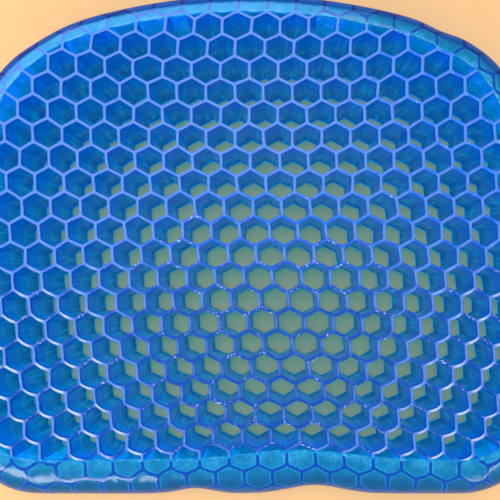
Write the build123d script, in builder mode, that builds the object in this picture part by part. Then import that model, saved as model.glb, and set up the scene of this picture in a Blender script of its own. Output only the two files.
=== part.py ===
"""Honeycomb gel seat cushion: one moulding, modelled as its moulded zones.

Frame: origin at the bottom centre, +Z up, +Y towards the back of the seat, +X to the right.
The cells are open right through. A bullnose skin closes the cushion all round, and the walls
run on beneath it as ribs. Upper and lower halves meet at a web on the mould's parting plane.
"""

import os
from math import hypot

from build123d import *

# ---- Driving dimensions, mm -------------------------------------------------------------
THICKNESS = 40.0
HALF_LENGTH = 184.0  # from the middle to the front edge, and to the crown of the back edge

BACK_CORNER_X = 196.0  # where the back and side edges would meet without their rounding
BACK_CORNER_Y = 140.0
SIDE_BULGE_X = 213.0  # the side edge, level with SIDE_BULGE_Y
SIDE_BULGE_Y = -16.0
FRONT_CORNER_X = 214.0
BACK_CORNER_RADIUS = 100.0
FRONT_CORNER_RADIUS = 60.0

COLUMN_PITCH = 20.6  # cell to cell along X
ROW_PITCH = 17.0  # row to row along Y; every other row is half a cell across
FIRST_ROW_Y = 5.9  # a row with a cell on the centre line
WALL = 2.2  # cell wall
SKIN = 2.2  # rim skin

WEB_HEIGHT = 1.0  # web on the parting plane
WEB_WALL = 2.8  # the walls are thickest there
BEAD_PROUD = 0.6  # moulding bead round the edge
EDGE_LAND = 0.2  # upright strip between the round edge and the bead
SMALLEST_RIB_AREA = 4.0  # mm2; less than this is the skin's own fillet

# ---- Worked out from them ---------------------------------------------------------------
MID_PLANE = THICKNESS / 2
HALF_HEIGHT = (THICKNESS - WEB_HEIGHT) / 2
WEB_BOTTOM = MID_PLANE - WEB_HEIGHT / 2
WEB_TOP = MID_PLANE + WEB_HEIGHT / 2
EDGE_RADIUS = HALF_HEIGHT - EDGE_LAND
REACH = 2 * FRONT_CORNER_X  # well outside the cushion


def cell_points(wall):
    """The six corners of one cell's opening, for walls of the given thickness."""
    apex = 2 * ROW_PITCH / 3
    slope = apex / COLUMN_PITCH
    side = (COLUMN_PITCH - wall) / 2
    top = apex - wall / 2 * hypot(1, slope)
    shoulder = top - slope * side
    return [(0, top), (side, shoulder), (side, -shoulder), (0, -top), (-side, -shoulder), (-side, shoulder)]


def cell_centres():
    """Centres of every cell that could fall inside the outline."""
    rows = round(HALF_LENGTH / ROW_PITCH) + 1
    columns = round(FRONT_CORNER_X / COLUMN_PITCH) + 1
    return [
        (COLUMN_PITCH * (column + (row % 2) / 2), FIRST_ROW_Y + ROW_PITCH * row)
        for row in range(-rows, rows + 1)
        for column in range(-columns - 1, columns + 1)
    ]


CENTRES = cell_centres()

# ---- Plan shapes ------------------------------------------------------------------------
with BuildSketch() as outline:
    with BuildLine():
        back_right = (BACK_CORNER_X, BACK_CORNER_Y)
        back_left = (-BACK_CORNER_X, BACK_CORNER_Y)
        front_right = (FRONT_CORNER_X, -HALF_LENGTH)
        front_left = (-FRONT_CORNER_X, -HALF_LENGTH)
        ThreePointArc(back_left, (0, HALF_LENGTH), back_right)
        ThreePointArc(back_right, (SIDE_BULGE_X, SIDE_BULGE_Y), front_right)
        Line(front_right, front_left)
        ThreePointArc(front_left, (-SIDE_BULGE_X, SIDE_BULGE_Y), back_left)
    make_face()
    fillet(outline.vertices().group_by(Axis.Y)[-1], BACK_CORNER_RADIUS)
    fillet(outline.vertices().group_by(Axis.Y)[0], FRONT_CORNER_RADIUS)

with BuildSketch() as inside_skin:
    add(outline.sketch)
    offset(amount=-SKIN, kind=Kind.INTERSECTION, mode=Mode.REPLACE)

with BuildSketch() as open_area:
    add(outline.sketch)
    offset(amount=-EDGE_RADIUS, kind=Kind.INTERSECTION, mode=Mode.REPLACE)

with BuildSketch() as open_cells:
    add(open_area.sketch)
    with Locations(*CENTRES):
        Polygon(*cell_points(WALL), align=None, mode=Mode.SUBTRACT)

with BuildSketch() as rib_plan:
    add(inside_skin.sketch)
    add(open_area.sketch, mode=Mode.SUBTRACT)
    with Locations(*CENTRES):
        Polygon(*cell_points(WALL), align=None, mode=Mode.SUBTRACT)

with BuildSketch() as web_plan:
    add(inside_skin.sketch)
    with Locations(*CENTRES):
        Polygon(*cell_points(WEB_WALL), align=None, mode=Mode.SUBTRACT)

# ---- Cell walls and their web -----------------------------------------------------------
with BuildPart() as lower_cell_walls:
    add(open_cells.sketch)
    extrude(amount=HALF_HEIGHT)

with BuildPart() as upper_cell_walls:
    with BuildSketch(Plane.XY.offset(WEB_TOP)):
        add(open_cells.sketch)
    extrude(amount=HALF_HEIGHT)

with BuildPart() as parting_web:
    with BuildSketch(Plane.XY.offset(WEB_BOTTOM)):
        add(web_plan.sketch)
    extrude(amount=WEB_HEIGHT)

with BuildPart() as parting_bead:
    with BuildSketch(Plane.XY.offset(WEB_BOTTOM)):
        add(outline.sketch)
        offset(amount=BEAD_PROUD, kind=Kind.INTERSECTION, mode=Mode.REPLACE)
        add(inside_skin.sketch, mode=Mode.SUBTRACT)
    extrude(amount=WEB_HEIGHT)

# ---- Rim: the upper half is built, and the lower is its mirror image ---------------------
with BuildPart() as upper_hollow:
    with BuildSketch(Plane.XY.offset(WEB_TOP)):
        add(inside_skin.sketch)
    extrude(amount=HALF_HEIGHT - SKIN)
    fillet(upper_hollow.faces().sort_by(Axis.Z)[-1].edges(), EDGE_RADIUS - SKIN)

with BuildPart() as upper_skin:
    with BuildSketch(Plane.XY.offset(WEB_TOP)):
        add(outline.sketch)
    extrude(amount=HALF_HEIGHT)
    fillet(upper_skin.faces().sort_by(Axis.Z)[-1].edges(), EDGE_RADIUS)
    add(upper_hollow.part, mode=Mode.SUBTRACT)
    with BuildSketch(Plane.XY.offset(WEB_TOP)):
        add(open_area.sketch)
    extrude(amount=HALF_HEIGHT, mode=Mode.SUBTRACT)

with BuildPart() as upper_rim_ribs:
    with BuildSketch(Plane.XY.offset(WEB_TOP)):
        add(rib_plan.sketch.faces().filter_by(lambda face: face.area > SMALLEST_RIB_AREA))
    extrude(amount=HALF_HEIGHT)
    add(upper_hollow.part, mode=Mode.INTERSECT)

with BuildPart() as lower_rim_ribs:
    mirror(upper_rim_ribs.part, about=Plane.XY.offset(MID_PLANE))

pieces = {
    "lower_cell_walls": lower_cell_walls.part,
    "upper_cell_walls": upper_cell_walls.part,
    "parting_web": parting_web.part,
    "parting_bead": parting_bead.part,
    "lower_rim_ribs": lower_rim_ribs.part,
    "upper_rim_ribs": upper_rim_ribs.part,
}

# The skin is divided at its corners into four sides.
CORNERS = {
    "back": [(-REACH, REACH), (REACH, REACH)],
    "right": [(REACH, REACH), (REACH, -REACH)],
    "front": [(REACH, -REACH), (-REACH, -REACH)],
    "left": [(-REACH, -REACH), (-REACH, REACH)],
}
for side, corners in CORNERS.items():
    with BuildPart() as upper_side:
        add(upper_skin.part)
        with BuildSketch():
            Polygon((0, 0), *corners, align=None)
        extrude(amount=THICKNESS, mode=Mode.INTERSECT)
    with BuildPart() as lower_side:
        mirror(upper_side.part, about=Plane.XY.offset(MID_PLANE))
    pieces[f"upper_{side}_skin"] = upper_side.part
    pieces[f"lower_{side}_skin"] = lower_side.part

os.makedirs("parts", exist_ok=True)
for name, piece in pieces.items():
    piece.label = name
    export_step(piece, f"parts/{name}.step")
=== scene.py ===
"""Looks of the honeycomb gel seat cushion: lattice, skin, gel materials, light and camera."""

import math

import bmesh
import bpy
import numpy as np
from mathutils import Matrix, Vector, noise


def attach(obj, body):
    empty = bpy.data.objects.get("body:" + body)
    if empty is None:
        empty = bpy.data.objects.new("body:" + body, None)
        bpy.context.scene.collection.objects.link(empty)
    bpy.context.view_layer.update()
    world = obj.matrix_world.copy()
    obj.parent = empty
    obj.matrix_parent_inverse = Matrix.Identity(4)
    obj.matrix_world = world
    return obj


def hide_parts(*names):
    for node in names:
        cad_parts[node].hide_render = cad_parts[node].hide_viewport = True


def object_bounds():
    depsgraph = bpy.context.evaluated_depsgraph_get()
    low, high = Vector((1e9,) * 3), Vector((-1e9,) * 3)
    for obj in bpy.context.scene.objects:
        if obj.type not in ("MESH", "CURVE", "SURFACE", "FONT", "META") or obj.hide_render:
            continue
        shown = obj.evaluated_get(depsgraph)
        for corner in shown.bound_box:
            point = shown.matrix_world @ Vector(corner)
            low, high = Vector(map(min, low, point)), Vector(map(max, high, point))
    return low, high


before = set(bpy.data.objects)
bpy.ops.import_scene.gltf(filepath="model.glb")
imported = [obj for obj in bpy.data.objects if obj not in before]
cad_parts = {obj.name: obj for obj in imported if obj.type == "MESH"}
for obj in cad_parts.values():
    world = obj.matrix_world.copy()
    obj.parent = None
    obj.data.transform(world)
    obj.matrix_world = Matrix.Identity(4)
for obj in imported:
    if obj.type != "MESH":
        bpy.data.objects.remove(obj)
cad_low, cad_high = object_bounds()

MM = 0.001

# ---- The cushion's own sizes, as its CAD has them ------------------------------------------
THICKNESS = cad_high.z - cad_low.z
MID = THICKNESS / 2
COLUMN_PITCH = 20.6 * MM
ROW_PITCH = 17.0 * MM
FIRST_ROW_Y = 5.9 * MM
SKIN = 2.2 * MM
BEAD_PROUD = 0.6 * MM

# ---- How the soft gel lies: it has slumped a little from its moulded shape -----------------
SLUMP_SPAN = 180 * MM  # the terms of the slump are mm, this far from the middle
SLUMP_ACROSS = (3.6, -13.1, 5.8, 6.2)  # along X: a slide, and terms in y, y squared and y cubed
SLUMP_ALONG = (5.2, -5.1, -4.1, -1.4, 15.0)  # along Y: a slide, y, y cubed, x squared, x squared y
TOP_SLIDE = (-2.3 * MM, 3.7 * MM)  # the sitting face, against the underside
FRONT_ZONE = (100 * MM, 150 * MM)  # the front edge begins between these, towards -Y
BACK_ZONE = (60 * MM, 110 * MM)  # and the back edge between these, towards +Y
FRONT_PULL = 9.0 * MM  # the open area's front edge, drawn in
FRONT_PULL_EXTRA = 7.0 * MM  # and this much more near a dent
FRONT_PULL_X, FRONT_PULL_WIDTH = 35 * MM, 50 * MM
FRONT_DENTS = [(-40 * MM, 4.5 * MM, 17 * MM), (48 * MM, 7.2 * MM, 26 * MM)]  # x, depth, half width
BACK_DENTS = [  # the same along the back edge, where a bulge has a depth below 0
    (0, -1.8 * MM, 170 * MM),
    (-155 * MM, 3.0 * MM, 22 * MM),
    (141 * MM, 3.0 * MM, 14 * MM),
    (188 * MM, -3.5 * MM, 16 * MM),
]
noise.seed_set(3)  # the same wavering in every run
WAVER, WAVER_LENGTH, WAVER_DOWN = 0.9 * MM, 24 * MM, 0.5  # reach, length, and rate down the walls
CREASE, CREASE_LENGTH, CREASE_DOWN = 0.55 * MM, 9 * MM, 0.4
BOW = 0.8 * MM  # how far a buckled wall bulges at the sitting face
BOW_WAY = (0.5, -0.87)  # which way, on the right-hand side
LOOSE_AHEAD = (-30 * MM, 70 * MM)  # the gel gets looser between these, towards the front
LOOSE_ASIDE = (10 * MM, 70 * MM)  # and between these, towards the sides


def slump(x, y):
    """How far a point of the moulded lattice has slid, in plan."""
    u, v = x / SLUMP_SPAN, y / SLUMP_SPAN
    slide, first, second, third = SLUMP_ACROSS
    dx = slide + first * v + second * v**2 + third * v**3
    slide, first, third, aside, aside_first = SLUMP_ALONG
    dy = slide + first * v + third * v**3 + aside * u**2 + aside_first * u**2 * v
    return dx * MM, dy * MM


def smooth_step(value, low, high):
    """0 up to low and 1 from high on, with a smooth rise between them."""
    share = np.clip((value - low) / (high - low), 0, 1)
    return share * share * (3 - 2 * share)


def sway(x, y, z):
    """How far the wavering walls stand from their slumped place."""
    broad = noise.noise_vector(Vector((x, y, z * WAVER_DOWN)) / WAVER_LENGTH) * WAVER
    fine = noise.noise_vector(Vector((y, x, z * CREASE_DOWN)) / CREASE_LENGTH) * CREASE
    return (broad + fine)[:2]


def place_in_cell(x, y):
    """For points of the moulded lattice: the way from their cell's centre, and the distances
    from the middle of its nearest upright wall and its nearest slanted one."""
    apex = 2 * ROW_PITCH / 3
    slope = apex / COLUMN_PITCH
    found = np.full((5, len(x)), -1.0)
    for step in (-1, 0, 1):
        row = np.round((y - FIRST_ROW_Y) / ROW_PITCH) + step
        column = x / COLUMN_PITCH - (row % 2) / 2
        along = (column - np.round(column)) * COLUMN_PITCH
        up = y - FIRST_ROW_Y - row * ROW_PITCH
        upright = COLUMN_PITCH / 2 - abs(along)
        slanted = (apex - slope * abs(along) - abs(up)) / math.hypot(1, slope)
        here = np.array([along, up, upright, slanted, np.minimum(upright, slanted)])
        found = np.where(here[4] > found[4], here, found)
    return found[:4]


def bow(x, y, z):
    """How far the slanted walls that lean outwards have buckled, where the gel is loose."""
    along, up, upright, slanted = place_in_cell(x, y)
    leans_out = (along * up * x < 0) & (slanted < upright)
    loose = smooth_step(-y, *LOOSE_AHEAD) * smooth_step(abs(x), *LOOSE_ASIDE)
    middle = np.cos(math.pi * (abs(along) / (COLUMN_PITCH / 2) - 0.5)) ** 2
    reach = BOW * leans_out * loose * middle * z / THICKNESS
    return reach * BOW_WAY[0] * np.sign(x), reach * BOW_WAY[1]


def laid(points):
    """Where points of the moulded lattice lie on the real, soft cushion."""
    x, y, z = points.T
    height = z / THICKNESS - 1
    plan = points[:, :2] + np.column_stack(slump(x, y)) + np.column_stack(bow(x, y, z))
    plan += np.column_stack([height * TOP_SLIDE[0], height * TOP_SLIDE[1]])
    return np.column_stack([plan + [sway(*point) for point in points], z])


def moulded(points):
    """The way back: which points of the moulded lattice lie there. Each round comes closer."""
    guess = points
    for _ in range(4):
        guess = guess + points - laid(guess)
    return guess


def wall_distance(points):
    """Distance in plan from points of the real cushion to the middle of the nearest wall."""
    return np.maximum(0, place_in_cell(*moulded(points).T[:2])[2:].min(0))


# ---- Mesh helpers ---------------------------------------------------------------------------
def add_object(name, points, faces):
    """A new object in the scene, made of those points and faces."""
    mesh = bpy.data.meshes.new(name)
    mesh.from_pydata([tuple(p) for p in points], [], faces)
    mesh.update()
    piece = bpy.data.objects.new(name, mesh)
    bpy.context.scene.collection.objects.link(piece)
    return piece


def apply_modifiers(piece):
    """Replaces a piece's mesh with what its modifiers make of it. A piece without materials
    stays without them."""
    depsgraph = bpy.context.evaluated_depsgraph_get()
    mesh = bpy.data.meshes.new_from_object(piece.evaluated_get(depsgraph))
    piece.modifiers.clear()
    if not piece.data.materials:
        mesh.materials.clear()
    piece.data = mesh


def smooth_closed(values, steps):
    """Rounds off a closed line of points."""
    for _ in range(steps):
        values = (np.roll(values, 1, 0) + 2 * values + np.roll(values, -1, 0)) / 4
    return values


# ---- Outline --------------------------------------------------------------------------------
def bead_outline(count):
    """The widest outline, evenly spaced, read from the CAD's parting bead."""
    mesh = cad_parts["parting_bead"].data
    corners = {}
    for face in mesh.polygons:
        if abs(face.normal.z) < 0.5 and face.normal.dot(face.center) > 0:
            for index in face.vertices:
                point = mesh.vertices[index].co
                corners[(round(point.x, 5), round(point.y, 5))] = math.atan2(point.y, point.x)
    ring = np.array(sorted(corners, key=corners.get))
    closed = np.vstack([ring, ring[:1]])
    length = np.concatenate([[0], np.cumsum(np.hypot(*np.diff(closed, axis=0).T))])
    even = np.linspace(0, length[-1], count, endpoint=False)
    points = np.stack([np.interp(even, length, closed[:, axis]) for axis in (0, 1)], 1)
    return smooth_closed(points, OUTLINE_ROUNDING)


STATIONS = 1050  # points round the outline
OUTLINE_ROUNDING = 12  # steps that take the mesh's corners off it
EDGE = bead_outline(STATIONS)
TANGENT = np.roll(EDGE, -1, 0) - np.roll(EDGE, 1, 0)
TANGENT /= np.linalg.norm(TANGENT, axis=1)[:, None]
INWARD = np.stack([-TANGENT[:, 1], TANGENT[:, 0]], 1)


def front_share(y):
    """0 at the back and sides, 1 along the front edge."""
    return smooth_step(-y, *FRONT_ZONE)


def dent_at(x, dents):
    """How deep the dents are at each x."""
    return sum(depth * np.exp(-(((x - middle) / width) ** 2)) for middle, depth, width in dents)


def rim_ring(inset, z):
    """One ring of the rim: the outline drawn in by inset, at height z, as the gel lies."""
    plan = EDGE + INWARD * (inset + BEAD_PROUD)
    x, share = plan[:, 0], front_share(plan[:, 1])
    reach = min(1, inset / MID)
    pull = FRONT_PULL + FRONT_PULL_EXTRA * np.exp(-(((x - FRONT_PULL_X) / FRONT_PULL_WIDTH) ** 2))
    shift = share * (pull * reach**1.5 + dent_at(x, FRONT_DENTS) * (1 - reach) ** 2)
    shift -= smooth_step(plan[:, 1], *BACK_ZONE) * dent_at(x, BACK_DENTS)
    slide = (z / THICKNESS - 0.5) * reach
    x = x + slide * TOP_SLIDE[0]
    y = plan[:, 1] + shift + slide * TOP_SLIDE[1]
    return np.column_stack([x, y, np.full(len(plan), z)])


def bullnose(radius, steps, low=-90, high=90):
    """(inset, z) along the round edge, from the underside up to the sitting face."""
    for step in range(steps + 1):
        angle = math.radians(low + (high - low) * step / steps)
        yield MID - radius * math.cos(angle), MID + radius * math.sin(angle)


def ring_faces(rings, count, closed=True):
    """Quads between rings of points laid one after another."""
    last = rings if closed else rings - 1
    for ring in range(last):
        a, b = ring * count, (ring + 1) % rings * count
        for i in range(count):
            j = (i + 1) % count
            yield (a + i, a + j, b + j, b + i)


# ---- Skin -----------------------------------------------------------------------------------
BEAD_HALF = 0.5 * MM
LIP_ROUND = 0.4 * MM
LOW_STEPS, HIGH_STEPS = 16, 34  # of the outer face, below the bead and above it
LINING_STEPS = 12
DISH = 0.25 * MM
DISH_REACH = (0.8 * MM, 5.5 * MM)  # from the middle of a rib to full depth
DISH_FACE = (0.5 * MID, 0.9 * MID)  # above and below the middle plane, to full depth
DISH_EDGE = 0.3  # of that depth, on the front's outer face


def make_skin():
    """The hollow rim: a round outer face with the moulding bead, a lip, and a round inner face."""
    edge = [*bullnose(MID, LOW_STEPS, -90, 0), *bullnose(MID, HIGH_STEPS, 0, 90)]
    edge = [point for point in edge if abs(point[1] - MID) > 2.5 * BEAD_HALF]
    bead = [
        (0, MID - 2 * BEAD_HALF),
        (-BEAD_PROUD, MID - BEAD_HALF),
        (-BEAD_PROUD, MID + BEAD_HALF),
        (0, MID + 2 * BEAD_HALF),
    ]
    outer = [p for p in edge if p[1] < MID] + bead + [p for p in edge if p[1] > MID]
    inner = list(bullnose(MID - SKIN, LINING_STEPS))[::-1]
    lip_top = [(MID + LIP_ROUND, THICKNESS - below) for below in (LIP_ROUND, SKIN - LIP_ROUND)]
    lip_low = [(inset, THICKNESS - z) for inset, z in lip_top[::-1]]
    rim = sweep_section("ribbed_rim", outer + lip_top + inner + lip_low, False)
    dish_windows(rim, len(outer) * STATIONS)
    return rim


def dish_windows(rim, count):
    """Sinks the skin's outer face a little between the ribs that hold it up."""
    outer = rim.data.vertices[:count]
    points = np.array([vert.co for vert in outer])
    sunk = DISH * smooth_step(wall_distance(points), *DISH_REACH)
    off_bead = smooth_step(abs(points[:, 2] - MID), 2 * BEAD_HALF, 6 * BEAD_HALF)
    on_face = smooth_step(abs(points[:, 2] - MID), *DISH_FACE)
    sunk *= on_face + (off_bead - on_face) * DISH_EDGE * front_share(points[:, 1])
    normals = np.array([vert.normal for vert in outer])
    for vert, normal, depth in zip(outer, normals, sunk):
        vert.co -= Vector(normal * depth)


# ---- Cell walls -----------------------------------------------------------------------------
WALL_TOP = 1.3 * MM  # the flat ends, between their rounded edges
WALL_FACE = 2.1 * MM  # just below the sitting face
WALL_MID = 2.3 * MM
WALL_RIDGE = 2.5 * MM
WALL_LOW = 2.4 * MM
WALL_FOOT = 3.2 * MM  # the flange on the underside
ROUND = 0.35 * MM  # of the walls' ends
RIDGE = 0.5 * MM  # half the height of the ridge on the parting plane
LEVELS = [  # height and wall thickness, from the underside up
    (0, WALL_TOP),
    (ROUND, WALL_FOOT),
    (3 * ROUND, WALL_LOW),
    (MID - RIDGE, WALL_LOW),
    (MID, WALL_RIDGE),
    (MID + RIDGE, WALL_MID),
    (MID * 1.5, (WALL_FACE + WALL_MID) / 2),
    (THICKNESS - ROUND, WALL_FACE),
    (THICKNESS, WALL_TOP),
]
SIDE_SHARES = (0.06, 0.36, 0.64, 0.94)  # where the points stand along a cell's side
LOOP_POINTS = 6 * len(SIDE_SHARES)
RIM_POINTS = 6 * 3  # each corner, and two along each side
ROWS, COLUMNS = 13, 13  # each way from the middle
WELD = 0.02 * MM  # points closer than this become one


def hexagon(wall):
    """Corners of one cell, anticlockwise from the top, for walls of that thickness."""
    apex = 2 * ROW_PITCH / 3
    slope = apex / COLUMN_PITCH
    side = (COLUMN_PITCH - wall) / 2
    top = apex - wall / 2 * math.hypot(1, slope)
    shoulder = top - slope * side
    left = [(-side, shoulder), (-side, -shoulder)]
    right = [(side, -shoulder), (side, shoulder)]
    return np.array([(0, top), *left, (0, -top), *right])


def cell_loop(wall):
    """Points round one cell: four on each side, which leaves its corners rounded off."""
    corners = hexagon(wall)
    ends = np.roll(corners, -1, 0)
    return np.vstack([a + (b - a) * share for a, b in zip(corners, ends) for share in SIDE_SHARES])


def cell_rim():
    """Points on the walls' centre lines: each corner, and two along each side."""
    corners = hexagon(0)
    ends = np.roll(corners, -1, 0)
    shares = (0, *SIDE_SHARES[1:3])
    return np.vstack([a + (b - a) * share for a, b in zip(corners, ends) for share in shares])


def rim_faces(hole, rim, flip):
    """Faces between a cell's opening and the centre lines round it."""
    for side in range(6):
        h = [hole + side * 4 + i for i in range(4)]
        r = [rim + (side * 3 + i) % RIM_POINTS for i in range(4)]
        next_hole = hole + (side + 1) % 6 * 4
        faces = [(h[i], r[i], r[i + 1], h[i + 1]) for i in range(3)] + [(h[3], r[3], next_hole)]
        for face in faces:
            yield face[::-1] if flip else face


def cell_mesh():
    """Points and faces of one cell's walls, each wall as far as its centre line."""
    loops = [np.column_stack([cell_loop(wall), np.full(LOOP_POINTS, z)]) for z, wall in LEVELS]
    rims = [np.column_stack([cell_rim(), np.full(RIM_POINTS, z)]) for z in (0, THICKNESS)]
    low_rim = len(LEVELS) * LOOP_POINTS
    high_rim = low_rim + RIM_POINTS
    faces = [face[::-1] for face in ring_faces(len(LEVELS), LOOP_POINTS, closed=False)]
    faces += rim_faces(0, low_rim, True)
    faces += rim_faces((len(LEVELS) - 1) * LOOP_POINTS, high_rim, False)
    return np.vstack(loops + rims), faces


def make_lattice():
    """The cells side by side, as moulded, welded along their walls' centre lines and closed at
    the outside."""
    cell, faces = cell_mesh()
    points, all_faces = [], []
    for row in range(-ROWS, ROWS + 1):
        for column in range(-COLUMNS, COLUMNS + 1):
            centre = (COLUMN_PITCH * (column + (row % 2) / 2), FIRST_ROW_Y + ROW_PITCH * row, 0)
            start = len(points) * len(cell)
            points.append(cell + np.array(centre))
            all_faces += [tuple(start + i for i in face) for face in faces]
    piece = add_object("cell_walls", np.vstack(points), all_faces)
    bm = bmesh.new()
    bm.from_mesh(piece.data)
    bmesh.ops.remove_doubles(bm, verts=bm.verts, dist=WELD)
    open_edges = [edge for edge in bm.edges if edge.is_boundary]
    top = [edge for edge in open_edges if all(vert.co.z > MID for vert in edge.verts)]
    grown = bmesh.ops.extrude_edge_only(bm, edges=top)["geom"]
    for vert in [item for item in grown if isinstance(item, bmesh.types.BMVert)]:
        vert.co.z = 0
    bmesh.ops.remove_doubles(bm, verts=[v for v in bm.verts if v.co.z < WELD], dist=WELD)
    bmesh.ops.recalc_face_normals(bm, faces=bm.faces)
    bm.to_mesh(piece.data)
    bm.free()
    return piece


def lay(piece):
    """Lets the moulded lattice slump, waver and buckle as the soft gel does."""
    points = np.array([vert.co for vert in piece.data.vertices])
    piece.data.vertices.foreach_set("co", laid(points).astype(np.float32).ravel())
    piece.data.update()


def sweep_section(name, section, capped):
    """A closed body of rings round the outline: capped at its first and last ring, or else a loop."""
    points = np.vstack([rim_ring(inset, z) for inset, z in section])
    faces = list(ring_faces(len(section), STATIONS, closed=not capped))
    if capped:
        last = (len(section) - 1) * STATIONS
        faces.append(tuple(range(STATIONS))[::-1])
        faces.append(tuple(range(last, last + STATIONS)))
    body = add_object(name, points, faces)
    fix_normals(body)
    return body


def fix_normals(piece):
    """Turns a piece's faces outwards."""
    bm = bmesh.new()
    bm.from_mesh(piece.data)
    bmesh.ops.recalc_face_normals(bm, faces=bm.faces)
    bm.to_mesh(piece.data)
    bm.free()


def combine(piece, other, operation):
    """Boolean of piece with other, which is used up."""
    step = piece.modifiers.new("step", "BOOLEAN")
    step.operation, step.object, step.solver = operation, other, "MANIFOLD"
    apply_modifiers(piece)
    bpy.data.objects.remove(other)


def copy_of(piece, name):
    twin = bpy.data.objects.new(name, piece.data.copy())
    bpy.context.scene.collection.objects.link(twin)
    return twin


def shade(piece, degrees):
    """Smooth shading, except across edges sharper than that."""
    piece.data.polygons.foreach_set("use_smooth", [True] * len(piece.data.polygons))
    piece.data.set_sharp_from_angle(angle=math.radians(degrees))


# ---- Fields for the materials -----------------------------------------------------------------
RIB_FADE = (0.3 * MM, 2.3 * MM)  # from the middle of a rib to where it no longer shows
BEHIND_ZONE = (-60 * MM, 60 * MM)  # along Y, from the front half's painted light and shade to the back half's
SHEEN_ZONE = (-110 * MM, -10 * MM)  # along -X, to where the sky's sheen is full
FRONT_SHEEN = (-40 * MM, 80 * MM)  # along -Y, to where the painted sheen is as in front
RIGHT_SHEEN = (20 * MM, 120 * MM)  # along X, to where it is as on the right
SHEENLESS = ((10 * MM, 95 * MM), (-95 * MM, 75 * MM))  # middle and reach of the part with little painted sheen, which looks clearer
SHEENLESS_SLANTED = ((10 * MM, 110 * MM), (-55 * MM, 105 * MM))  # the same on the slanted walls
LEAN_SHARPNESS = 40  # how soon a slanted wall counts as leaning, out from its cell's axes
LEAN_SWAP = 40 * MM  # how soon left and right walls swap, out from the centre line
JOINT_BLUR = 1 * MM  # where upright and slanted walls meet
SHELL_LOW, SHELL_HIGH = 0.925 * THICKNESS, 0.97 * THICKNESS  # where the steep outer face ends


def add_field(piece, name, values):
    """Stores a value at each point, for the materials."""
    piece.data.attributes.new(name, "FLOAT", "POINT").data.foreach_set("value", values)


def away_from(points, part):
    """Distance from the middle of a part of the cushion, against the part's reach."""
    away = [(points[:, axis] - middle) / reach for axis, (middle, reach) in enumerate(part)]
    return np.hypot(*away)


def top_sheen(points):
    """The painted sheen of the sky on the gel's faces: missing towards the front of the middle, and thin
    on the slanted walls that lean inwards and on the shoulders of the walls."""
    along, up, upright, slanted = place_in_cell(*moulded(points).T[:2])
    lean = np.clip(along * up / (ROW_PITCH * COLUMN_PITCH) * LEAN_SHARPNESS, -1, 1)
    lean *= (slanted < upright) * np.clip(-points[:, 0] / LEAN_SWAP, -1, 1)
    leans_out = 0.5 + 0.5 * lean
    ahead = smooth_step(-points[:, 1], *FRONT_SHEEN)
    aside = smooth_step(points[:, 0], *RIGHT_SHEEN)
    behind = 0.65 - 0.5 * aside * (1 - leans_out)
    on_slanted = behind + ahead * (1.5 * leans_out - behind)
    on_slanted *= smooth_step(away_from(points, SHEENLESS_SLANTED), 0.6, 1.3)
    on_upright = 0.3 + 0.4 * smooth_step(away_from(points, SHEENLESS), 0.5, 1.3) + 0.2 * ahead * leans_out
    is_upright = smooth_step(slanted - upright, -JOINT_BLUR, JOINT_BLUR)
    share = on_slanted + (on_upright - on_slanted) * is_upright
    shoulder = 1 - smooth_step(points[:, 2], THICKNESS - ROUND, THICKNESS)
    return share * (1 - shoulder * (0.3 + 0.6 * ahead))


def facing_out(piece, points):
    """How far each point of the rim faces away from the middle, in plan: 1 to -1."""
    normals = np.array([vert.normal for vert in piece.data.vertices])
    return (normals[:, :2] * points[:, :2]).sum(1) / np.hypot(*points.T[:2])


def add_wall_fields(walls):
    points = np.array([vert.co for vert in walls.data.vertices])
    # where the tops carry the painted sheen of the sky
    add_field(walls, "top_sheen", top_sheen(points))
    add_field(walls, "behind", smooth_step(points[:, 1], *BEHIND_ZONE))


def add_rim_fields(rim):
    points = np.array([vert.co for vert in rim.data.vertices])
    behind = smooth_step(points[:, 1], *BEHIND_ZONE)
    outward = facing_out(rim, points)
    below_top = 1 - smooth_step(points[:, 2], SHELL_LOW, SHELL_HIGH)
    add_field(rim, "rib", 1 - smooth_step(wall_distance(points), *RIB_FADE))
    add_field(rim, "behind", behind)
    add_field(rim, "sheen", behind * smooth_step(-points[:, 0], *SHEEN_ZONE))
    add_field(rim, "shell", smooth_step(outward, 0, 0.2) * below_top)
    add_field(rim, "lining", smooth_step(-outward, 0.1, 0.3))


# ---- Shader steps -----------------------------------------------------------------------------
def new_material(name):
    """An empty node material, and its node tree."""
    material = bpy.data.materials.new(name)
    material.use_nodes = True
    material.node_tree.nodes.clear()
    return material, material.node_tree


def feed(tree, value, socket):
    """Gives a socket its value: a number, a colour or what another socket puts out."""
    if isinstance(value, tuple):
        socket.default_value = (*value, 1)
    elif isinstance(value, (int, float)):
        socket.default_value = value
    else:
        tree.links.new(value, socket)


def noise_between(tree, place, scale, low, high):
    """A noise pattern of so many cells per metre, spread between two values."""
    pattern = tree.nodes.new("ShaderNodeTexNoise")
    pattern.inputs["Scale"].default_value = scale
    pattern.inputs["Detail"].default_value = 3
    tree.links.new(place, pattern.inputs["Vector"])
    level = tree.nodes.new("ShaderNodeMapRange")
    for socket, value in zip(RAMP_SOCKETS, (0.3, 0.7, low, high)):
        level.inputs[socket].default_value = value
    tree.links.new(pattern.outputs["Fac"], level.inputs["Value"])
    return level.outputs["Result"]


def field(tree, name):
    """A field that the piece's points carry."""
    reader = tree.nodes.new("ShaderNodeAttribute")
    reader.attribute_name = name
    return reader.outputs["Fac"]


RAMP_SOCKETS = ("From Min", "From Max", "To Min", "To Max")


def spread(tree, source, low, high, first=0, second=1):
    """A value that runs from first to second as the source runs from low to high."""
    ramp = tree.nodes.new("ShaderNodeMapRange")
    ramp.interpolation_type = "SMOOTHSTEP"
    for socket, value in zip(RAMP_SOCKETS, (low, high, first, second)):
        ramp.inputs[socket].default_value = value
    tree.links.new(source, ramp.inputs["Value"])
    return ramp.outputs["Result"]


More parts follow.
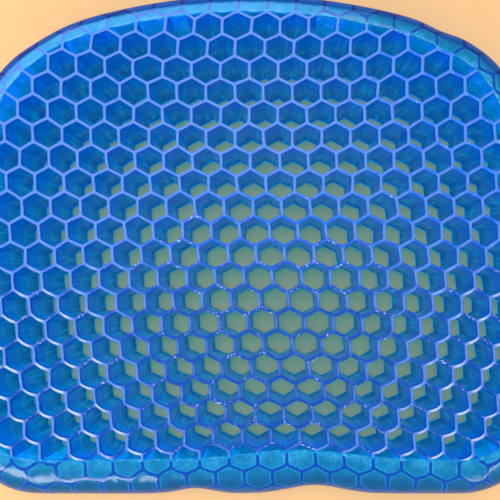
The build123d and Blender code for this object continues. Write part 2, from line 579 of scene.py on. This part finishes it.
def blend(tree, share, first, second):
    """A colour between two others."""
    mix = tree.nodes.new("ShaderNodeMix")
    mix.data_type = "RGBA"
    tree.links.new(share, mix.inputs["Factor"])
    feed(tree, first, mix.inputs[6])
    feed(tree, second, mix.inputs[7])
    return mix.outputs[2]


def arithmetic(tree, operation, first, second):
    """What one operation makes of two values."""
    step = tree.nodes.new("ShaderNodeMath")
    step.operation = operation
    tree.links.new(first, step.inputs[0])
    tree.links.new(second, step.inputs[1])
    return step.outputs["Value"]


def product(tree, first, second):
    return arithmetic(tree, "MULTIPLY", first, second)


def height_of(tree, place):
    """Height above the floor."""
    split = tree.nodes.new("ShaderNodeSeparateXYZ")
    tree.links.new(place, split.inputs["Vector"])
    return split.outputs["Z"]


def stretched(tree, place, factor):
    """Places for a pattern that changes so many times as fast along Z."""
    stretch = tree.nodes.new("ShaderNodeMapping")
    stretch.inputs["Scale"].default_value = (1, 1, factor)
    tree.links.new(place, stretch.inputs["Vector"])
    return stretch.outputs["Vector"]


def uneven(tree, place, scale, factor, strength):
    """Normals of an uneven face: its cells per metre, their rate along Z, and its strength."""
    bump = tree.nodes.new("ShaderNodeBump")
    bump.inputs["Strength"].default_value = strength
    bump.inputs["Distance"].default_value = BUMP_DEPTH
    tree.links.new(noise_between(tree, stretched(tree, place, factor), scale, 0, 1), bump.inputs["Height"])
    return bump.outputs["Normal"]


def mix_shaders(tree, share, first, second):
    """A shader between two others."""
    mix = tree.nodes.new("ShaderNodeMixShader")
    feed(tree, share, mix.inputs["Fac"])
    tree.links.new(first, mix.inputs[1])
    tree.links.new(second, mix.inputs[2])
    return mix.outputs["Shader"]


# ---- Gel materials ----------------------------------------------------------------------------
GRAIN, MOTTLE, FLECKS = 350, 500, 700  # noise cells per metre
PATCHES, CAUGHT, CLOUDS, SMUDGES = 130, 195, 78, 52
BUMP_DEPTH = 0.3 * MM
STREAKS = (500, 0.05, 0.6)  # cells per metre, their rate along Z, strength
RIPPLES = (260, 1, 0.35)
SMOOTH = (160, 1, 0.15)
SHADE_TINT = (0.70, 0.99, 1.0)  # what one surface lets through into the shade behind it
DEPTH_TINT, DEPTH_DENSITY = (0.0, 0.70, 0.97), 200  # what the gel's depth lets through, how fast
# The next two colours: the painted sheen of the sky on the walls' tops.
LILAC = (0.08, 0.20, 0.61)
PALE_LILAC = (0.42, 0.50, 0.85)
# The next colour: painted glints on the tops.
GLINT = (0.60, 0.68, 0.95)
# The next colour: painted shade in a band under the sitting face.
BRINK_SHADE = (0, 0.07, 0.50)


def gel_material(name, paint, roughness, clearness, ior, glow, bumps):
    """Translucent gel. Paint makes its colour, and roughness is a pair that it is mottled
    between. Clearness is the share of light it transmits: a number, or else a pair, between the
    ribs and at them. Glow makes the colour and the share of the light scattered right through it."""
    material, tree = new_material(name)
    place = tree.nodes.new("ShaderNodeTexCoord").outputs["Object"]
    gel = tree.nodes.new("ShaderNodeBsdfPrincipled")
    if isinstance(clearness, tuple):
        clearness = spread(tree, field(tree, "rib"), 0, 1, *clearness)
    feed(tree, ior, gel.inputs["IOR"])
    feed(tree, clearness, gel.inputs["Transmission Weight"])
    feed(tree, paint(tree, place), gel.inputs["Base Color"])
    feed(tree, noise_between(tree, place, GRAIN, *roughness), gel.inputs["Roughness"])
    feed(tree, uneven(tree, place, *bumps), gel.inputs["Normal"])
    through = tree.nodes.new("ShaderNodeBsdfTranslucent")
    colour, share = glow(tree, place)
    feed(tree, colour, through.inputs["Color"])
    body = mix_shaders(tree, share, gel.outputs["BSDF"], through.outputs["BSDF"])
    clear = tree.nodes.new("ShaderNodeBsdfTransparent")
    feed(tree, SHADE_TINT, clear.inputs["Color"])
    in_shade = tree.nodes.new("ShaderNodeLightPath").outputs["Is Shadow Ray"]
    absorb = tree.nodes.new("ShaderNodeVolumeAbsorption")
    feed(tree, DEPTH_TINT, absorb.inputs["Color"])
    feed(tree, DEPTH_DENSITY, absorb.inputs["Density"])
    out = tree.nodes.new("ShaderNodeOutputMaterial")
    feed(tree, mix_shaders(tree, in_shade, body, clear.outputs["BSDF"]), out.inputs["Surface"])
    feed(tree, absorb.outputs["Volume"], out.inputs["Volume"])
    return material


def wall_glow(tree, place):
    """Blue under the sitting face, teal towards the floor."""
    rise = spread(tree, height_of(tree, place), 0.2 * THICKNESS, 0.95 * THICKNESS)
    colour = blend(tree, rise, (0, 0.75, 0.70), (0, 0.44, 0.78))
    return colour, spread(tree, rise, 0, 1, 0.27, 0.31)


def top_glow(tree, place):
    """Faint blue."""
    return (0, 0.5, 0.95), 0.1


def rib_glow(tree, place):
    """Light caught between the ribs under the skin."""
    rise = spread(tree, height_of(tree, place), 0, THICKNESS)
    return blend(tree, rise, (0, 0.85, 0.80), (0, 0.65, 1.0)), spread(tree, rise, 0, 1, 0.5, 0.6)


def rib_under(tree):
    """1 where a rib shows through the skin, 0 between the ribs."""
    return spread(tree, field(tree, "rib"), 0.40, 0.68)


def steep_behind(tree):
    """1 on the steep outer face at the back, 0 elsewhere."""
    return product(tree, field(tree, "shell"), field(tree, "behind"))


def skin_glow(tree, place):
    """Faint, but deep on the steep outer face behind and strong on the lining."""
    deep = steep_behind(tree)
    colour = blend(tree, field(tree, "sheen"), (0, 0.42, 0.60), (0, 0.5, 0.85))
    steep = blend(tree, rib_under(tree), (0, 0.26, 0.48), (0, 0.08, 0.30))
    share = spread(tree, field(tree, "lining"), 0, 1, 0.12, 0.6)
    share = arithmetic(tree, "MAXIMUM", share, spread(tree, deep, 0, 1, 0, 0.7))
    return blend(tree, deep, colour, steep), share


def paint_wall(tree, place):
    """Vivid blue at the sitting face, teal towards the floor as painted light of the floor seen through
    the gel, with painted highlight streaks down it, a painted highlight line on the ridge at the middle
    and a dark band of painted shade under the sitting face, stronger in front."""
    height = height_of(tree, place)
    # teal towards the floor: painted light of the floor seen through the gel
    rise = spread(tree, height, 0.15 * THICKNESS, 0.95 * THICKNESS)
    dark = blend(tree, rise, (0, 0.20, 0.36), (0, 0.19, 0.72))
    light = blend(tree, rise, (0, 0.42, 0.56), (0, 0.36, 0.78))
    # pale streaks: painted highlights down the walls
    streak_highlight = blend(tree, rise, (0, 0.95, 0.90), (0, 0.50, 0.92))
    down = noise_between(tree, stretched(tree, place, STREAKS[1]), MOTTLE, 0, 1)
    colour = blend(tree, noise_between(tree, place, PATCHES, 0, 1), dark, light)
    colour = blend(tree, spread(tree, down, 0.55, 0.9), colour, streak_highlight)
    # paler line on the ridge: a painted highlight
    below = spread(tree, height, MID + 1.4 * RIDGE, MID + 0.6 * RIDGE, 0, 0.9)
    above = spread(tree, height, MID - 1.4 * RIDGE, MID - 0.6 * RIDGE)
    colour = blend(tree, product(tree, below, above), colour, (0, 0.9, 0.95))
    # dark band under the sitting face: painted shade, stronger in front
    near_top = spread(tree, height, 0.90 * THICKNESS, 0.96 * THICKNESS)
    strength = spread(tree, field(tree, "behind"), 0, 1, 0.85, 0.45)
    return blend(tree, product(tree, near_top, strength), colour, BRINK_SHADE)


def paint_top(tree, place):
    """Deep blue, lighter behind as painted light, with a lilac painted sheen of the sky in patches, and
    pale painted glints where that sheen is missing.
    """
    behind = field(tree, "behind")
    # darker in front and lighter behind: painted light from behind
    dark = blend(tree, behind, (0, 0.04, 0.28), (0, 0.10, 0.66))
    light = blend(tree, behind, (0, 0.08, 0.46), (0, 0.18, 0.84))
    blue = blend(tree, noise_between(tree, place, MOTTLE, 0, 1), dark, light)
    # lilac, then pale lilac: the painted sheen of the sky on the tops
    sheen_share = product(tree, field(tree, "top_sheen"), noise_between(tree, place, PATCHES, 0.6, 1))
    sheened = blend(tree, spread(tree, sheen_share, 0.05, 0.55), blue, LILAC)
    sheened = blend(tree, spread(tree, sheen_share, 0.7, 1.2), sheened, PALE_LILAC)
    # pale flecks: painted glints where the painted sheen is missing
    fine = spread(tree, noise_between(tree, place, FLECKS, 0, 1), 0.65, 0.9)
    broad = spread(tree, noise_between(tree, place, CLOUDS, 0, 1), 0.45, 0.75)
    sheenless = spread(tree, field(tree, "top_sheen"), 0.1, 0.5, 1, 0)
    return blend(tree, product(tree, product(tree, fine, broad), sheenless), sheened, GLINT)


def paint_edge(tree, place):
    """The thin edges, where light gathers."""
    return blend(tree, noise_between(tree, place, PATCHES, 0, 1), (0, 0.70, 0.85), (0, 1.0, 0.95))


def paint_rib(tree, place):
    """Bright blue for the painted light gathered under the skin, teal low down, with painted highlights of
    caught light in facets.
    """
    rise = spread(tree, height_of(tree, place), 0.2 * THICKNESS, 0.9 * THICKNESS)
    plain = blend(tree, rise, (0, 0.60, 0.70), (0, 0.45, 1.0))
    # painted highlights: facets of caught light
    caught_glint = spread(tree, noise_between(tree, place, CAUGHT, 0, 1), 0.6, 0.9)
    return blend(tree, caught_glint, plain, (0.15, 0.85, 1.0))


def front_window(tree, place, height, mottle):
    """The skin between the ribs at the front: teal, darker on the steep outer face as painted shade, paler
    low down as painted light, and frosted at the lip.
    """
    # darker teal on the steep outer face: painted shade
    steep = blend(tree, mottle, (0, 0.09, 0.16), (0, 0.14, 0.23))
    # paler low down: painted light along the outer curve
    low = spread(tree, height, 0.5 * THICKNESS, 0.75 * THICKNESS, 0.6, 0)
    steep = blend(tree, low, steep, (0.05, 0.42, 0.52))
    level = blend(tree, mottle, (0, 0.18, 0.32), (0, 0.28, 0.42))
    teal = blend(tree, spread(tree, height, 0.90 * THICKNESS, THICKNESS), steep, level)
    frost = spread(tree, noise_between(tree, place, FLECKS, 0, 1), 0.2, 0.9, 0.2, 0.9)
    patch = spread(tree, noise_between(tree, place, SMUDGES, 0, 1), 0.2, 0.8)
    lip = spread(tree, height, 0.97 * THICKNESS, THICKNESS)
    frosted = product(tree, product(tree, frost, patch), lip)
    return blend(tree, frosted, teal, (0.06, 0.55, 0.80))


def paint_skin(tree, place):
    """Teal at the front, a painted sheen of the sky in light blue behind on the left, and deep blue
    painted shade on the steep face behind, with the ribs showing through, lilac under the painted sheen,
    and painted highlights of caught light on the lining."""
    height = height_of(tree, place)
    mottle = noise_between(tree, place, PATCHES, 0, 1)
    # light blue: the painted sheen of the sky, behind on the left
    light = blend(tree, mottle, (0.06, 0.42, 0.62), (0.12, 0.56, 0.74))
    window = blend(tree, field(tree, "sheen"), front_window(tree, place, height, mottle), light)
    beside = spread(tree, field(tree, "rib"), 0.1, 0.35)
    beside = product(tree, beside, spread(tree, field(tree, "rib"), 0.35, 0.6, 0.45, 0))
    window = blend(tree, beside, window, (0, 0.52, 0.80))
    # ribs: dark blue, and lilac where the painted sheen is
    rib = blend(tree, field(tree, "sheen"), (0, 0.05, 0.30), (0.11, 0.20, 0.62))
    face = blend(tree, rib_under(tree), window, rib)
    # painted highlights of caught light on the lining
    caught_glint = spread(tree, noise_between(tree, place, CAUGHT, 0, 1), 0.6, 0.85)
    lining = blend(tree, caught_glint, (0, 0.50, 0.92), (0.20, 0.95, 1.0))
    face = blend(tree, field(tree, "lining"), face, lining)
    # deep blue on the steep face behind: painted shade
    high = blend(tree, rib_under(tree), (0, 0.22, 0.44), (0, 0.05, 0.28))
    rise = spread(tree, height, 0.74 * THICKNESS, 0.84 * THICKNESS)
    return blend(tree, steep_behind(tree), face, blend(tree, rise, (0, 0.30, 0.40), high))


wall_gel = gel_material("gel_wall", paint_wall, (0.10, 0.24), 0.6, 1.2, wall_glow, STREAKS)
top_gel = gel_material("gel_wall_top", paint_top, (0.25, 0.4), 0.1, 1.3, top_glow, RIPPLES)
edge_gel = gel_material("gel_edge", paint_edge, (0.3, 0.5), 0.0, 1.2, wall_glow, RIPPLES)
skin_gel = gel_material("gel_skin", paint_skin, (0.08, 0.18), (0.5, 0.15), 1.34, skin_glow, SMOOTH)
rib_gel = gel_material("gel_rib", paint_rib, (0.10, 0.24), 0.3, 1.2, rib_glow, RIPPLES)

# ---- The two pieces ---------------------------------------------------------------------------
CLEAR = 5 * MM  # how far the cutting body stands past the sitting face and the underside
GAP = 0.03 * MM  # between the open cells and the rim
BURIED = MID - SKIN / 2  # the ribs' round edge, halfway into the skin
BURIED_STEPS = 20
SHARP = 35  # degrees
walls = make_lattice()
lay(walls)
ribs = copy_of(walls, "ribs")
open_area = [(MID + GAP, -CLEAR), (MID + GAP, THICKNESS + CLEAR)]
combine(walls, sweep_section("open_area", open_area, True), "INTERSECT")
under_skin = [(MID, MID - BURIED), *bullnose(BURIED, BURIED_STEPS), (MID, MID + BURIED)]
combine(ribs, sweep_section("under_skin", under_skin, False), "INTERSECT")
rim = make_skin()
for part in (rim, ribs):
    part.data.materials.append(skin_gel)
    part.data.materials.append(rib_gel)
ribs.data.polygons.foreach_set("material_index", [1] * len(ribs.data.polygons))
combine(rim, ribs, "UNION")
shade(walls, SHARP)
shade(rim, SHARP)
add_wall_fields(walls)
add_rim_fields(rim)

for material in (wall_gel, top_gel, edge_gel):
    walls.data.materials.append(material)
for face in walls.data.polygons:
    height = face.center.z
    if abs(face.normal.z) > 0.5 and (height > THICKNESS - ROUND or height < ROUND):
        face.material_index = 1
    elif height < 3 * ROUND:
        face.material_index = 2

SIDES = ("back", "right", "front", "left")
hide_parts("upper_cell_walls", "lower_cell_walls", "parting_web")
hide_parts("parting_bead", "upper_rim_ribs", "lower_rim_ribs")
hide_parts(*[f"{half}_{side}_skin" for half in ("upper", "lower") for side in SIDES])
for piece in (walls, rim):
    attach(piece, "root")

# ---- Floor, light and camera ------------------------------------------------------------------
FLOOR_GAP = 0.1 * MM
FLOOR_REACH = 3
FLOOR_COLOUR = (0.70, 0.385, 0.165)
DAYLIGHT = (0.95, 0.98, 1.0)
SKY, SKY_STRENGTH = (0.80, 0.92, 1.0), 0.7
CAMERA_ABOVE = 404 * MM  # the camera, above the sitting face
CAMERA_Y = -3 * MM
VIEW_WIDTH = 357 * MM  # what it sees across, at the sitting face
SENSOR_WIDTH = 36  # mm, as Blender has it


def make_floor():
    """A plain, matt, pale floor just below the cushion."""
    plan = [(-1, -1), (1, -1), (1, 1), (-1, 1)]
    corners = [(x * FLOOR_REACH, y * FLOOR_REACH, -FLOOR_GAP) for x, y in plan]
    floor = add_object("floor", corners, [(0, 1, 2, 3)])
    material, tree = new_material("floor")
    matt = tree.nodes.new("ShaderNodeBsdfPrincipled")
    feed(tree, FLOOR_COLOUR, matt.inputs["Base Color"])
    feed(tree, 0.9, matt.inputs["Roughness"])
    out = tree.nodes.new("ShaderNodeOutputMaterial")
    feed(tree, matt.outputs["BSDF"], out.inputs["Surface"])
    floor.data.materials.append(material)
    return floor


def soft_box(name, place, size, brightness):
    """A flat lamp that faces the cushion."""
    data = bpy.data.lights.new(name, "AREA")
    data.shape = "RECTANGLE"
    data.size, data.size_y = size
    data.energy = brightness * math.pi * size[0] * size[1]
    data.color = DAYLIGHT
    lamp = bpy.data.objects.new(name, data)
    lamp.location = place
    lamp.rotation_euler = (-Vector(place)).to_track_quat("-Z", "Y").to_euler()
    scene.collection.objects.link(lamp)


def add_camera():
    """A camera straight above the cushion."""
    data = bpy.data.cameras.new("camera")
    data.sensor_width = SENSOR_WIDTH
    data.lens = SENSOR_WIDTH * CAMERA_ABOVE / VIEW_WIDTH
    data.clip_start = 0.01
    camera = bpy.data.objects.new("camera", data)
    camera.location = (0, CAMERA_Y, THICKNESS + CAMERA_ABOVE)
    scene.collection.objects.link(camera)
    scene.camera = camera


scene = bpy.context.scene
floor = make_floor()
world = bpy.data.worlds.new("studio")
scene.world = world
world.use_nodes = True
background = world.node_tree.nodes["Background"]
background.inputs["Color"].default_value = (*SKY, 1)
background.inputs["Strength"].default_value = SKY_STRENGTH
scene.view_settings.view_transform = "Standard"
scene.cycles.max_bounces = 20  # enough to see through several walls
scene.cycles.transmission_bounces = 20
scene.cycles.transparent_max_bounces = 40

soft_box("overhead", (-0.15, 0.38, 1.2), (1.5, 0.8), 4.2)
soft_box("left", (-0.85, -0.25, 1.0), (0.4, 0.8), 2.6)
soft_box("window_left", (-0.75, -1.05, 0.80), (1.1, 0.20), 15)
soft_box("window_right", (1.0, -0.90, 0.80), (0.9, 0.16), 10)
add_camera()
